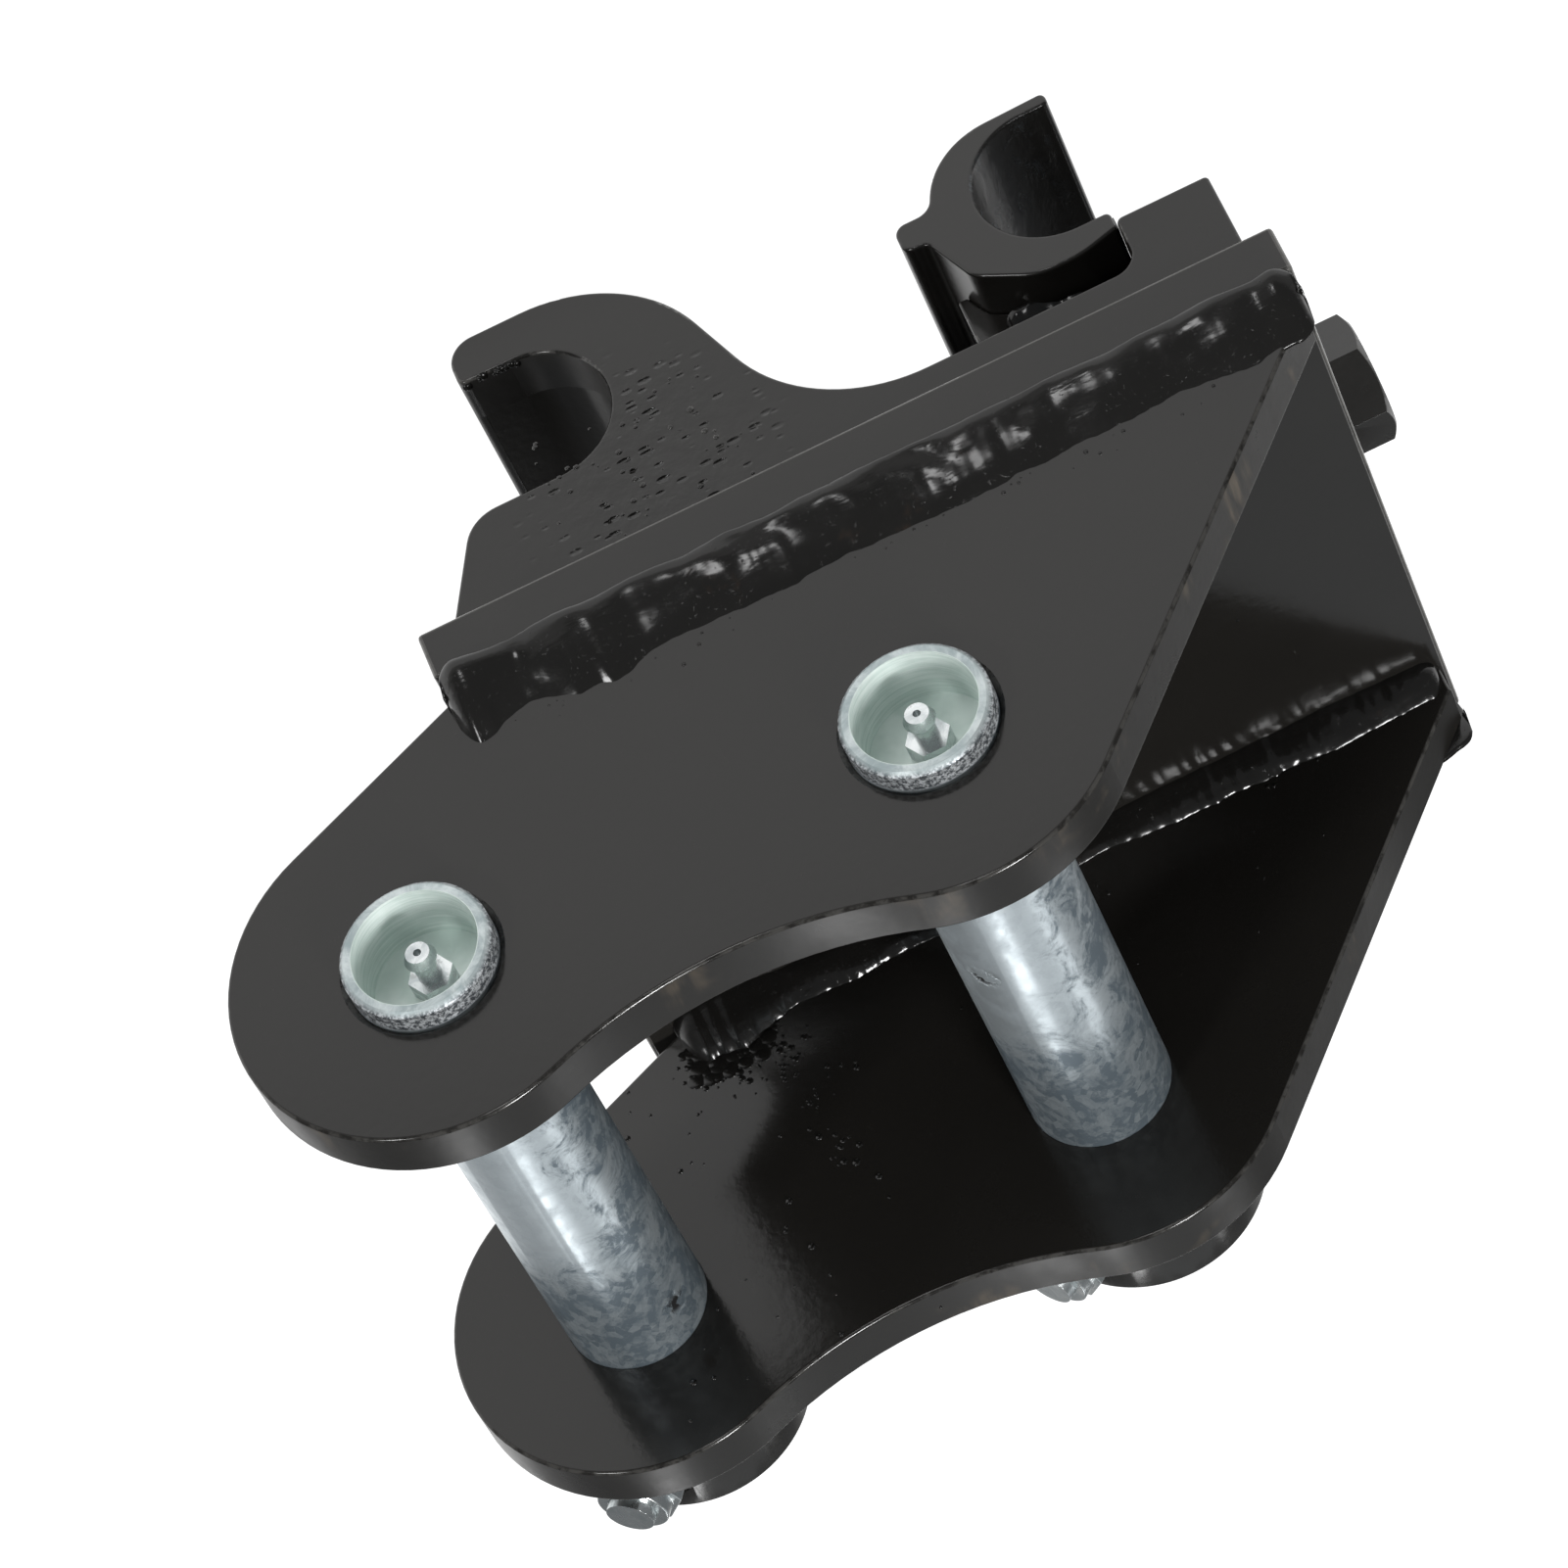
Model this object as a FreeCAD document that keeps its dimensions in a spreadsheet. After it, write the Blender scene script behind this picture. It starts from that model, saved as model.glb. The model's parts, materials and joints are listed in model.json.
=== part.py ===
import FreeCAD, Part
import math
import os
import re

# Screw-operated quick coupler for a small excavator, in its working attitude.
# +Z is up towards the dipper arm, +Y runs along the pins, and +X is the way the
# fixed front hook opens. The origin is the centre of the front hook's seat at
# mid width. All sizes are in millimetres.

DIMS = {
    # link and dipper pins, and the two ears that carry them
    "pin_diameter": 30,
    "pin_spacing": 103,
    "pin_rise": 119.6,
    "dipper_pin_reach": 59,
    "pin_proud": 4.9,
    "pin_chamfer": 1,
    "cup_diameter": 25,
    "cup_depth": 14,
    "grease_bore": 5,
    "grease_outlet": 4,
    "nipple_stem": 6,
    "nipple_flats": 8,
    "nipple_base": 4.5,
    "nipple_neck": 4.7,
    "nipple_flare": 1.2,
    "nipple_head": 6.5,
    "nipple_nose": 1.9,
    "nipple_nose_end": 4.8,
    "nipple_height": 10.2,
    "nipple_hole": 1.6,
    "nipple_hole_depth": 2.1,
    "ear_gap": 121,
    "ear_thickness": 11.5,
    "ear_hole_clearance": 0.1,
    "ear_hole_chamfer": 1.2,
    "lobe_radius": 38.7,
    "waist_rise": 28.4,
    "ear_front_foot": 27.5,
    "ear_rear_foot": -143,
    "ear_rear_step": 6.6,
    "edge_round": 0.8,
    # base plate between the ears and the hooks
    "base_front": 36.4,
    "base_length": 181,
    "base_width": 152,
    "base_thickness": 11.6,
    "base_underside": 51.3,
    # bosses and cross bolts on the far ends of the pins
    "boss_diameter": 50,
    "boss_length": 30,
    "boss_chamfer": 1.5,
    "cross_bolt": 10,
    "dipper_bolt_angle": 55,
    "link_bolt_angle": 39,
    "cross_bolt_seat": 23.5,
    "cross_bolt_setback": 15,
    "cross_head_flats": 17,
    "cross_head_height": 6.4,
    "cross_nut_height": 9.5,
    "cross_nut_collar": 3,
    "cross_tip_proud": 2,
    "spot_face": 21,
    # hook frame under the base plate
    "frame_width": 118,
    "frame_plate": 12,
    "seat_radius": 16.1,
    "hook_tip": 10.9,
    "hook_crown": 26.8,
    "hook_back": -29.2,
    "rail_front": -49.7,
    "rail_level": 31.6,
    "block_front": -119.85,
    "block_rear": -139.8,
    "block_level": 18.6,
    "saddle_rear": -44,
    "saddle_level": 15.5,
    # how the corners of the hook plates' outline are rounded
    "hook_throat": 1.2,
    "hook_throat_round": 9,
    "hook_tip_round": 2,
    "hook_nose_round": 6,
    "hook_back_round": 33,
    "rail_round": 35,
    "block_foot_round": 5,
    "block_edge_round": 1.5,
    "block_rear_round": 1,
    "guide_height": 8,
    "guide_depth": 6,
    "guide_level": 38,
    "guide_front": -50,
    "guide_rear": -119,
    # moving jaw, extended against its stop
    "jaw_seat_x": -113,
    "jaw_lip": 6.55,
    "jaw_lip_level": 20.7,
    "jaw_crown_level": 23.2,
    "jaw_tip": 5.8,
    "jaw_tip_thickness": 3.2,
    "jaw_belly": 18.5,
    "jaw_heel": 33,
    "jaw_heel_foot": 4,
    "jaw_heel_top": 3.4,
    "jaw_heel_slope": 8,
    "jaw_crest": 2,
    "jaw_shoulder": 11.27,
    "jaw_wall": 2,
    # how the corners of the jaw's outline are rounded
    "jaw_lip_round": 1.2,
    "jaw_tip_round": 1.3,
    "jaw_belly_reach": 3,
    "jaw_belly_round": 18,
    "jaw_foot_round": 4,
    "jaw_heel_round": 2.6,
    "jaw_heel_neck": 5,
    "jaw_neck_round": 2.4,
    "jaw_root": 10,
    "jaw_root_round": 6,
    "jaw_shoulder_round": 14,
    "jaw_crest_round": 20,
    "carriage_level": 10,
    "carriage_front": -85.5,
    "carriage_rear": -113.5,
    "slide_gap": 0.35,
    # clamp screw
    "screw_diameter": 16,
    "screw_level": 34.5,
    "screw_flats": 24,
    "screw_head": 10,
    "screw_length": 80,
    "screw_tip": 1.5,
    "screw_head_face": 22.8,
    "screw_turn": 16,
    "screw_fit": 0.06,
    "thrust_gap": 0.1,
    "washer_thickness": 4.7,
    "washer_diameter": 30,
    "collar_length": 5.6,
    "collar_diameter": 22,
    "roll_pin": 4,
    # weld beads
    "ear_weld": 13.5,
    "ear_weld_proud": 0.5,
    "ear_weld_shoulder": 2.5,
    "inner_weld": 9,
    "inner_weld_foot": 4.5,
    "frame_weld": 7,
    "frame_weld_end": 4,
    "boss_weld": 5,
    "jaw_weld_top": 28,
    "jaw_weld_inset": 2,
    "jaw_weld_start": 3,
    "jaw_weld_length": 18,
}

V = FreeCAD.Vector
ALONG_X = FreeCAD.Rotation(V(0, 1, 0), 90)
ALONG_Y = FreeCAD.Rotation(V(1, 0, 0), -90)
ALONG_Z = FreeCAD.Rotation()

doc = FreeCAD.newDocument("quick_coupler")
sheet = doc.addObject("Spreadsheet::Sheet", "dims")
for row, (alias, value) in enumerate(DIMS.items(), start=1):
    sheet.set("A%d" % row, alias)
    sheet.set("B%d" % row, str(value))
    sheet.setAlias("B%d" % row, alias)
doc.recompute()

nodes = {}


def dim(alias):
    return float(sheet.get(alias))


def bind(obj, prop, formula):
    """Ties a property to a formula written with the sheet's aliases."""
    named = re.sub(r"[a-z_]+", lambda m: "dims." + m.group() if m.group() in DIMS else m.group(), formula)
    obj.setExpression(prop, named)


def keep(name, obj):
    """Names an object as a finished piece of the coupler."""
    obj.Label = name
    nodes[name] = obj
    return obj


def place(obj, x, y, z, rotation=ALONG_Z):
    obj.Placement = FreeCAD.Placement(V(0, 0, 0), rotation)
    bind(obj, "Placement.Base.x", x)
    bind(obj, "Placement.Base.y", y)
    bind(obj, "Placement.Base.z", z)
    return obj


def cylinder(radius, height, x, y, z, rotation):
    obj = doc.addObject("Part::Cylinder", "cylinder")
    bind(obj, "Radius", radius)
    bind(obj, "Height", height)
    return place(obj, x, y, z, rotation)


def cone(radius1, radius2, height, x, y, z, rotation):
    obj = doc.addObject("Part::Cone", "cone")
    bind(obj, "Radius1", radius1)
    bind(obj, "Radius2", radius2)
    bind(obj, "Height", height)
    return place(obj, x, y, z, rotation)


def hexagon(flats, height, x, y, z, rotation):
    obj = doc.addObject("Part::Prism", "hexagon")
    obj.Polygon = 6
    bind(obj, "Circumradius", "(%s) / sqrt(3)" % flats)
    bind(obj, "Height", height)
    return place(obj, x, y, z, rotation)


def box(x0, x1, y0, y1, z0, z1):
    obj = doc.addObject("Part::Box", "box")
    bind(obj, "Length", "(%s) - (%s)" % (x1, x0))
    bind(obj, "Width", "(%s) - (%s)" % (y1, y0))
    bind(obj, "Height", "(%s) - (%s)" % (z1, z0))
    return place(obj, x0, y0, z0)


def fuse(*shapes):
    obj = doc.addObject("Part::MultiFuse", "union")
    obj.Shapes = list(shapes)
    obj.Refine = True
    return obj


def common(first, second):
    obj = doc.addObject("Part::Common", "overlap")
    obj.Base = first
    obj.Tool = second
    return obj


def cut(base, *tools):
    obj = doc.addObject("Part::Cut", "cut")
    obj.Base = base
    obj.Tool = tools[0] if len(tools) == 1 else fuse(*tools)
    obj.Refine = True
    return obj


def tangent_point(start, centre, radius, side):
    """Where the line from start touches the circle, on its left (1) or right (-1)."""
    dx = centre[0] - start[0]
    dz = centre[1] - start[1]
    distance = math.hypot(dx, dz)
    heading = math.atan2(dz, dx) + side * math.asin(radius / distance)
    run = math.sqrt(distance ** 2 - radius ** 2)
    return (start[0] + run * math.cos(heading), start[1] + run * math.sin(heading))


def arc_round(centre, radius, start, end, mid_angle):
    """Arc of a circle from start to end by way of the given angle in degrees."""
    turn = math.radians(mid_angle)
    middle = (centre[0] + radius * math.cos(turn), centre[1] + radius * math.sin(turn))
    return Part.Arc(V(start[0], start[1], 0), V(middle[0], middle[1], 0), V(end[0], end[1], 0))


def segment(start, end):
    return Part.LineSegment(V(start[0], start[1], 0), V(end[0], end[1], 0))


def rounded(corners):
    """Closed outline through (x, z, radius) corners, each rounded by a tangent arc."""
    joins = []
    count = len(corners)
    for i, (x, z, radius) in enumerate(corners):
        before = corners[i - 1]
        after = corners[(i + 1) % count]
        back = V(before[0] - x, before[1] - z, 0).normalize()
        ahead = V(after[0] - x, after[1] - z, 0).normalize()
        corner = V(x, z, 0)
        if radius == 0:
            joins.append((corner, None, corner))
            continue
        half = back.getAngle(ahead) / 2
        reach = radius / math.tan(half)
        bisector = (back + ahead).normalize()
        middle = corner + bisector * (radius / math.sin(half) - radius)
        joins.append((corner + back * reach, middle, corner + ahead * reach))
    edges = []
    for i, (start, middle, end) in enumerate(joins):
        if middle is not None:
            edges.append(Part.Arc(start, middle, end))
        following = joins[(i + 1) % count][0]
        if end.distanceToPoint(following) > 1e-6:
            edges.append(Part.LineSegment(end, following))
    return edges


def plane_of(body, role):
    return next(f for f in body.Origin.OriginFeatures if f.Role == role)


def sketch_on(body, role, edges):
    """Sketch on one of the body's own planes, its edges joined end to end."""
    sketch = body.newObject("Sketcher::SketchObject", "outline")
    sketch.AttachmentSupport = (plane_of(body, role), [""])
    sketch.MapMode = "FlatFace"
    sketch.addGeometry(edges, False)
    return sketch


def plate(edges, near, thickness, rounded_sides=(), foot=None):
    """Flat piece cut to an outline in X and Z, from Y = near for its thickness.

    rounded_sides names the faces, "near" or "far", whose rims are rounded, except
    along the foot, which is the level that the piece is welded at.
    """
    body = doc.addObject("PartDesign::Body", "body")
    pad = body.newObject("PartDesign::Pad", "pad")
    pad.Profile = sketch_on(body, "XZ_Plane", edges)
    pad.Reversed = True
    bind(pad, "Length", thickness)
    bind(body, "Placement.Base.y", near)
    doc.recompute()
    if not rounded_sides:
        return body
    faces = {"near": 0, "far": pad.Length.Value}
    names = []
    for number, edge in enumerate(pad.Shape.Edges, start=1):
        extent = edge.BoundBox
        on_foot = foot is not None and abs(extent.ZMin - foot) + abs(extent.ZMax - foot) < 1e-3
        if extent.YLength > 1e-3 or on_foot:
            continue
        if any(abs(extent.YMin - faces[side]) < 1e-3 for side in rounded_sides):
            names.append("Edge%d" % number)
    fillet = body.newObject("PartDesign::Fillet", "edge_round")
    fillet.Base = (pad, names)
    bind(fillet, "Radius", "edge_round")
    return body


def bar(edges, start, length):
    """Straight bar or bead with an outline in Y and Z, from X = start for its length."""
    body = doc.addObject("PartDesign::Body", "body")
    pad = body.newObject("PartDesign::Pad", "pad")
    pad.Profile = sketch_on(body, "YZ_Plane", edges)
    bind(pad, "Length", length)
    bind(body, "Placement.Base.x", start)
    return body


def polygon(points):
    return [segment(points[i - 1], points[i]) for i in range(len(points))]


# Levels and stations that several pieces share

PINS = {"dipper": "dipper_pin_reach", "link": "dipper_pin_reach - pin_spacing"}
PIN_X = {"dipper": dim("dipper_pin_reach"), "link": dim("dipper_pin_reach") - dim("pin_spacing")}
PIN_Z = dim("pin_rise")
EAR_IN = dim("ear_gap") / 2
EAR_OUT = EAR_IN + dim("ear_thickness")
BASE_TOP = dim("base_underside") + dim("base_thickness")
FRAME_OUT = dim("frame_width") / 2
FRAME_IN = FRAME_OUT - dim("frame_plate")
PIN_HOLE = "pin_diameter / 2 + ear_hole_clearance"
EAR_OUT_FORMULA = "ear_gap / 2 + ear_thickness"
FRAME_IN_FORMULA = "frame_width / 2 - frame_plate"
SIDES = {"near": -1, "far": 1}


# Base plate

base_rear = "base_front - base_length"
keep("base_plate", box(base_rear, "base_front", "-base_width / 2", "base_width / 2",
                       "base_underside", "base_underside + base_thickness"))


# Ears: two lobes round the pins, a waist between them, and straight edges down
# to the base plate at the front and the rear

def ear_outline():
    radius = dim("lobe_radius")
    waist = dim("waist_rise")
    front = (PIN_X["dipper"], PIN_Z)
    rear = (PIN_X["link"], PIN_Z)
    half = dim("pin_spacing") / 2
    waist_radius = (half ** 2 + waist ** 2 - radius ** 2) / (2 * (radius - waist))
    waist_centre = (rear[0] + half, PIN_Z + waist + waist_radius)
    lean = math.atan2(waist_centre[1] - PIN_Z, half)
    foot_front = (dim("ear_front_foot"), BASE_TOP)
    foot_rear = (dim("ear_rear_foot"), BASE_TOP)
    step_rear = (foot_rear[0], BASE_TOP + dim("ear_rear_step"))
    touch_front = tangent_point(foot_front, front, radius, -1)
    touch_rear = tangent_point(step_rear, rear, radius, 1)
    waist_front = (front[0] - radius * math.cos(lean), front[1] + radius * math.sin(lean))
    waist_rear = (rear[0] + radius * math.cos(lean), rear[1] + radius * math.sin(lean))
    return [
        segment(foot_front, touch_front),
        arc_round(front, radius, touch_front, waist_front, 30),
        arc_round(waist_centre, waist_radius, waist_front, waist_rear, -90),
        arc_round(rear, radius, waist_rear, touch_rear, 100),
        segment(touch_rear, step_rear),
        segment(step_rear, foot_rear),
        segment(foot_rear, foot_front),
    ]


for side, sign in SIDES.items():
    near = "-ear_gap / 2 - ear_thickness" if side == "near" else "ear_gap / 2"
    blank = plate(ear_outline(), near, "ear_thickness", ("near", "far"), BASE_TOP)
    tools = []
    for pin_x in PINS.values():
        tools.append(cylinder(PIN_HOLE, "ear_thickness", pin_x, near, "pin_rise", ALONG_Y))
        if side == "near":
            tools.append(cone(PIN_HOLE + " + ear_hole_chamfer", PIN_HOLE, "ear_hole_chamfer",
                              pin_x, near, "pin_rise", ALONG_Y))
    keep("ear_plate_" + side, cut(blank, *tools))


# Pins: each has a cup at the near end round its grease nipple, a grease way to
# mid length, and a cross hole for the bolt that holds it in its boss

near_end = "-ear_gap / 2 - ear_thickness - pin_proud"
boss_end = "%s + boss_length" % EAR_OUT_FORMULA
cross_y = "%s + cross_bolt_setback" % EAR_OUT_FORMULA


def across(radius, height, which, distance, shape=cylinder):
    """A cylinder or hexagon on a pin's cross bolt axis, from a distance off the pin's axis."""
    angle = which + "_bolt_angle"
    turn = FreeCAD.Rotation(V(0, 1, 0), 90 - dim(angle))
    return shape(radius, height, "%s + (%s) * cos(%s)" % (PINS[which], distance, angle), cross_y,
                 "pin_rise + (%s) * sin(%s)" % (distance, angle), turn)


def make_pin(which):
    pin_x = PINS[which]
    blunt = "pin_diameter / 2 - pin_chamfer"
    shaft = fuse(
        cone(blunt, "pin_diameter / 2", "pin_chamfer", pin_x, near_end, "pin_rise", ALONG_Y),
        cylinder("pin_diameter / 2", "(%s) - (%s) - 3 * pin_chamfer" % (boss_end, near_end),
                 pin_x, "%s + pin_chamfer" % near_end, "pin_rise", ALONG_Y),
        cone("pin_diameter / 2", blunt, "pin_chamfer", pin_x, "%s - 2 * pin_chamfer" % boss_end, "pin_rise",
             ALONG_Y),
    )
    cup = cylinder("cup_diameter / 2", "cup_depth", pin_x, near_end, "pin_rise", ALONG_Y)
    way = cylinder("grease_bore / 2", "-(%s)" % near_end, pin_x, near_end, "pin_rise", ALONG_Y)
    outlet = cylinder("grease_outlet / 2", "pin_diameter", pin_x, "-grease_bore", "pin_rise - pin_diameter",
                      ALONG_Z)
    cross = across("cross_bolt / 2", "pin_diameter * 2", which, "-pin_diameter")
    keep(which + "_pin", cut(shaft, cup, way, outlet, cross))


def make_nipple(which):
    """Straight grease nipple: threaded stem, hexagon, neck and a head with a small hole."""
    pin_x = PINS[which]
    floor = "(%s) + cup_depth" % near_end
    away = FreeCAD.Rotation(V(1, 0, 0), 90)
    stem = cylinder("grease_bore / 2", "nipple_stem", pin_x, floor, "pin_rise", ALONG_Y)
    hexagon_base = hexagon("nipple_flats", "nipple_base", pin_x, floor, "pin_rise", away)
    neck = cylinder("nipple_neck / 2", "nipple_height - nipple_base", pin_x, "(%s) - nipple_base" % floor,
                    "pin_rise", away)
    flare = cone("nipple_neck / 2", "nipple_head / 2", "nipple_flare",
                 pin_x, "(%s) - nipple_height + nipple_flare" % floor, "pin_rise", away)
    head = cone("nipple_head / 2", "nipple_nose_end / 2", "nipple_nose",
                pin_x, "(%s) - nipple_height" % floor, "pin_rise", away)
    hole = cylinder("nipple_hole / 2", "nipple_hole_depth", pin_x,
                    "(%s) - nipple_height - nipple_nose + nipple_hole_depth" % floor, "pin_rise", away)
    keep(which + "_grease_nipple", cut(fuse(stem, hexagon_base, neck, flare, head), hole))


def make_boss(which):
    pin_x = PINS[which]
    body = fuse(
        cylinder("boss_diameter / 2", "boss_length - boss_chamfer", pin_x, EAR_OUT_FORMULA, "pin_rise",
                 ALONG_Y),
        cone("boss_diameter / 2", "boss_diameter / 2 - boss_chamfer", "boss_chamfer",
             pin_x, "%s - boss_chamfer" % boss_end, "pin_rise", ALONG_Y),
    )
    bore = cylinder(PIN_HOLE, "boss_length", pin_x, EAR_OUT_FORMULA, "pin_rise", ALONG_Y)
    cross = across("cross_bolt / 2", "boss_diameter * 2", which, "-boss_diameter")
    nut_face = across("spot_face / 2", "boss_diameter", which, "cross_bolt_seat")
    head_face = across("spot_face / 2", "boss_diameter", which, "-cross_bolt_seat - boss_diameter")
    keep(which + "_pin_boss", cut(body, bore, cross, nut_face, head_face))


def make_boss_weld(which):
    pin_x = PINS[which]
    bead = cone("boss_diameter / 2 + boss_weld", "boss_diameter / 2", "boss_weld", pin_x, EAR_OUT_FORMULA,
                "pin_rise", ALONG_Y)
    boss = cylinder("boss_diameter / 2", "boss_weld", pin_x, EAR_OUT_FORMULA, "pin_rise", ALONG_Y)
    keep(which + "_boss_weld", cut(bead, boss))


def make_cross_bolt(which):
    head = across("cross_head_flats", "cross_head_height", which, "-cross_bolt_seat - cross_head_height",
                  hexagon)
    shank = across("cross_bolt / 2", "2 * cross_bolt_seat + cross_nut_height + cross_tip_proud",
                   which, "-cross_bolt_seat")
    keep(which + "_cross_bolt", fuse(head, shank))


def make_lock_nut(which):
    hexed = across("cross_head_flats", "cross_nut_height - cross_nut_collar", which, "cross_bolt_seat",
                   hexagon)
    collar = across("cross_head_flats / 2 - 1", "cross_nut_collar", which,
                    "cross_bolt_seat + cross_nut_height - cross_nut_collar")
    thread = across("cross_bolt / 2", "cross_nut_height", which, "cross_bolt_seat")
    keep(which + "_lock_nut", cut(fuse(hexed, collar), thread))


for which in PINS:
    make_pin(which)
    make_nipple(which)
    make_boss(which)
    make_boss_weld(which)
    make_cross_bolt(which)
    make_lock_nut(which)


# Hook frame: two side plates with a hook at the front, a low rail that the jaw
# passes over, and a raised block at the rear that carries the clamp screw

FOOT = dim("base_underside")
SEAT = dim("seat_radius")


def hook_corners():
    """The front hook from its foot round the seat and tip to its back."""
    return [
        (dim("base_front"), FOOT, 0),
        (SEAT * dim("hook_throat"), SEAT, dim("hook_throat_round")),
        (-SEAT, SEAT, SEAT),
        (-SEAT, -SEAT, SEAT),
        (dim("hook_tip"), -SEAT, dim("hook_tip_round")),
        (dim("hook_tip"), -dim("hook_crown"), dim("hook_nose_round")),
        (dim("hook_back"), -dim("hook_crown"), dim("hook_back_round")),
    ]


def frame_outline():
    back = (dim("rail_front"), dim("rail_level"), dim("rail_round"))
    rear = dim("block_rear")
    block = [
        (dim("block_front"), dim("rail_level"), dim("block_foot_round")),
        (dim("block_front"), dim("block_level"), dim("block_edge_round")),
        (rear, dim("block_level"), dim("block_rear_round")),
        (rear, FOOT, 0),
    ]
    return rounded(hook_corners() + [back] + block)


def saddle_outline():
    rear = dim("saddle_rear")
    return rounded(hook_corners() + [(rear, dim("saddle_level"), 0), (rear, FOOT, 0)])


for side, sign in SIDES.items():
    near = "-frame_width / 2" if side == "near" else FRAME_IN_FORMULA
    keep("hook_plate_" + side, plate(frame_outline(), near, "frame_plate", (side,), FOOT))

frame_inside = "2 * (%s)" % FRAME_IN_FORMULA
keep("front_saddle", plate(saddle_outline(), "-(%s)" % FRAME_IN_FORMULA, frame_inside))

block = box("block_rear", "block_front", "-(%s)" % FRAME_IN_FORMULA, FRAME_IN_FORMULA, "block_level",
            "base_underside")
screw_bore = cylinder("screw_diameter / 2 + screw_fit", "block_front - block_rear", "block_rear", "0",
                      "screw_level", ALONG_X)
keep("screw_block", cut(block, screw_bore))

for side, sign in SIDES.items():
    inner = "%d * (%s - guide_depth)" % (sign, FRAME_IN_FORMULA)
    outer = "%d * (%s)" % (sign, FRAME_IN_FORMULA)
    span = (outer, inner) if side == "near" else (inner, outer)
    keep("jaw_guide_" + side, box("guide_rear", "guide_front", span[0], span[1], "guide_level",
                                  "guide_level + guide_height"))


# Moving jaw: a C-shaped hook across the full width, on a carriage that slides
# between the side plates, on their guides, and carries the screw's nut

JAW_X = dim("jaw_seat_x")


def jaw_outline():
    """The jaw from its upper lip round the seat and tip to its heel and crown."""
    lip = JAW_X - dim("jaw_lip")
    tip = JAW_X - dim("jaw_tip")
    heel = JAW_X + dim("jaw_heel")
    foot = -dim("jaw_heel_foot")
    top = dim("jaw_heel_top")
    return rounded([
        (lip, SEAT, dim("jaw_lip_round")),
        (JAW_X + SEAT, SEAT, SEAT),
        (JAW_X + SEAT, -SEAT, SEAT),
        (tip, -SEAT, dim("jaw_tip_round")),
        (tip, -SEAT - dim("jaw_tip_thickness"), dim("jaw_tip_round")),
        (JAW_X + SEAT + dim("jaw_belly_reach"), -dim("jaw_belly"), dim("jaw_belly_round")),
        (heel - dim("jaw_heel_slope"), foot, dim("jaw_foot_round")),
        (heel, foot, dim("jaw_heel_round")),
        (heel, top, dim("jaw_heel_round")),
        (heel - dim("jaw_heel_neck"), top, dim("jaw_neck_round")),
        (heel - dim("jaw_root"), SEAT, dim("jaw_root_round")),
        (JAW_X + dim("jaw_shoulder"), dim("jaw_crown_level"), dim("jaw_shoulder_round")),
        (JAW_X + dim("jaw_crest"), dim("jaw_crown_level"), dim("jaw_crest_round")),
        (lip, dim("jaw_lip_level"), dim("jaw_lip_round")),
    ])


def hollow_of_jaw():
    return cylinder("seat_radius + jaw_wall", "frame_width", "jaw_seat_x", "-frame_width / 2", "0", ALONG_Y)


keep("jaw_hook", plate(jaw_outline(), "-frame_width / 2", "frame_width", ("near", "far")))

slide_half = "%s - slide_gap" % FRAME_IN_FORMULA
block = box("carriage_rear", "carriage_front", "-(%s)" % slide_half, slide_half, "carriage_level",
            "base_underside - slide_gap")
grooves = []
for side, sign in SIDES.items():
    inner = "%d * (%s - guide_depth - slide_gap)" % (sign, FRAME_IN_FORMULA)
    outer = "%d * frame_width / 2" % sign
    span = (outer, inner) if side == "near" else (inner, outer)
    grooves.append(box("carriage_rear", "carriage_front", span[0], span[1], "guide_level - slide_gap",
                       "guide_level + guide_height + slide_gap"))
carriage_length = "carriage_front - carriage_rear"
nut_bore = cylinder("collar_diameter / 2", carriage_length, "carriage_rear", "0", "screw_level", ALONG_X)
jaw_shape = plate(jaw_outline(), "-frame_width / 2", "frame_width")
keep("jaw_carriage", cut(block, jaw_shape, hollow_of_jaw(), nut_bore, *grooves))

nut = cylinder("collar_diameter / 2", carriage_length, "carriage_rear", "0", "screw_level", ALONG_X)
thread = cylinder("screw_diameter / 2 + screw_fit", carriage_length, "carriage_rear", "0", "screw_level",
                  ALONG_X)
keep("jaw_nut", cut(nut, thread))

slide_y = FRAME_IN - dim("slide_gap")
for side, sign in SIDES.items():
    corners = [(slide_y, dim("jaw_weld_top")), (FRAME_OUT - dim("jaw_weld_inset"), dim("carriage_level")),
               (slide_y, dim("carriage_level"))]
    mirrored = [(sign * y, z) for y, z in corners]
    wedge = bar(polygon(mirrored), "jaw_seat_x + jaw_weld_start", "jaw_weld_length")
    jaw_copy = plate(jaw_outline(), "-frame_width / 2", "frame_width")
    keep("jaw_weld_" + side, cut(wedge, jaw_copy, hollow_of_jaw()))


# Clamp screw: its head bears on a thick washer behind the screw block, and a
# pinned collar in front of the block keeps it from moving along its axis

head_face = "block_rear - washer_thickness - thrust_gap"
SCREW_TURN = ALONG_X.multiply(FreeCAD.Rotation(V(0, 0, 1), dim("screw_turn")))
head = common(
    hexagon("screw_flats", "screw_head", "%s - screw_head" % head_face, "0", "screw_level", SCREW_TURN),
    cone("screw_head_face / 2", "screw_head_face / 2 + screw_head * sqrt(3)", "screw_head",
         "%s - screw_head" % head_face, "0", "screw_level", ALONG_X),
)
shank = cylinder("screw_diameter / 2", "screw_length - screw_tip", head_face, "0", "screw_level", ALONG_X)
tip = cone("screw_diameter / 2", "screw_diameter / 2 - screw_tip", "screw_tip",
           "%s + screw_length - screw_tip" % head_face, "0", "screw_level", ALONG_X)
collar_front = "block_front + thrust_gap"
pin_station = "%s + collar_length / 2" % collar_front
roll_length = "collar_diameter - 1"


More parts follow.
